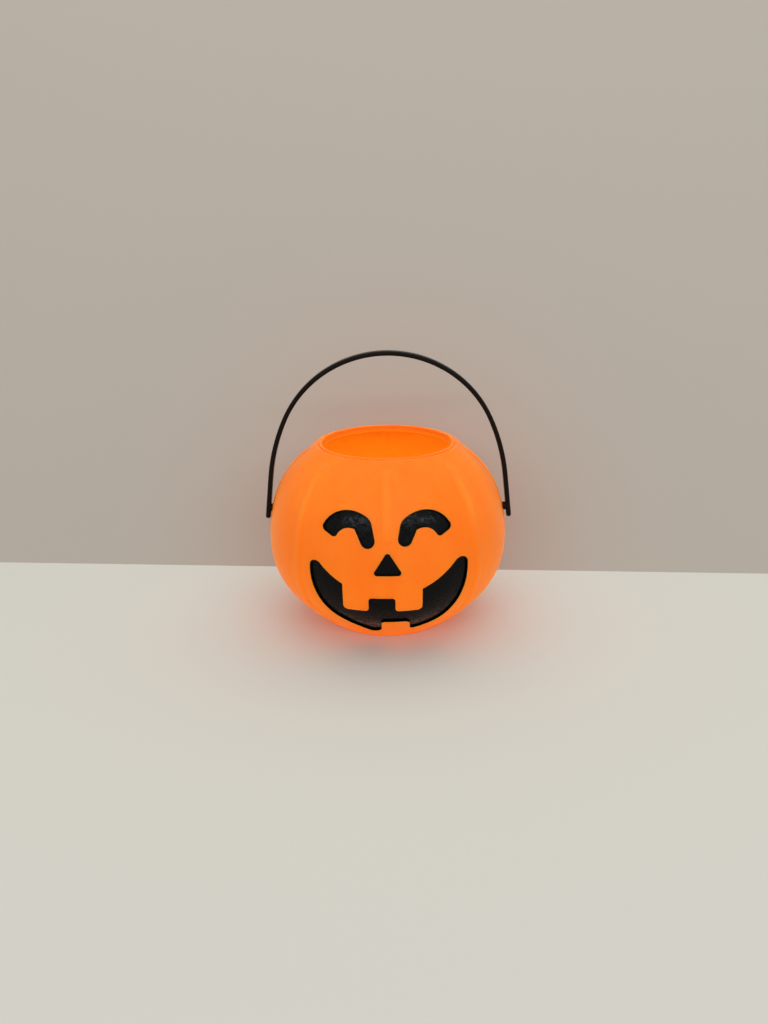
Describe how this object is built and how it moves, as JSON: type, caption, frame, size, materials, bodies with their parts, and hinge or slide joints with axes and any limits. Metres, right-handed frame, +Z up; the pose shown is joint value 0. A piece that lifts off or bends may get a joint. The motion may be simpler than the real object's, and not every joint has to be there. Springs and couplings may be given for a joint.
{
  "type": "pumpkin candy pail",
  "caption": "Small round pumpkin pail of thin translucent plastic with a sunk smiling face, an open top and a slim arched carrying handle that swings on pegs in its sides.",
  "frame": {"origin": "centre of the foot, on the surface that the pail stands on", "axes": "+Z up, the face looks along -Y, +X to the right of someone who looks at the face; the swing axis of the handle runs along X"},
  "size_m": [0.0729, 0.07, 0.0794],
  "materials": {
    "orange_shell": "satin, translucent blow-moulded polyethylene",
    "black_handle": "satin moulded polypropylene",
    "black_paint": "glossy sprayed paint film"
  },
  "bodies": {
    "pail": {"pail_body": "orange_shell", "left_eye_paint": "black_paint", "right_eye_paint": "black_paint", "nose_paint": "black_paint", "mouth_paint": "black_paint"},
    "handle": {"handle": "black_handle"}
  },
  "joints": [
    {"name": "handle_swing", "type": "hinge", "parent": "pail", "child": "handle", "pos_m": [0, 0, 0.0334], "axis": [1, 0, 0], "range_deg": [-105, 105]}
  ]
}
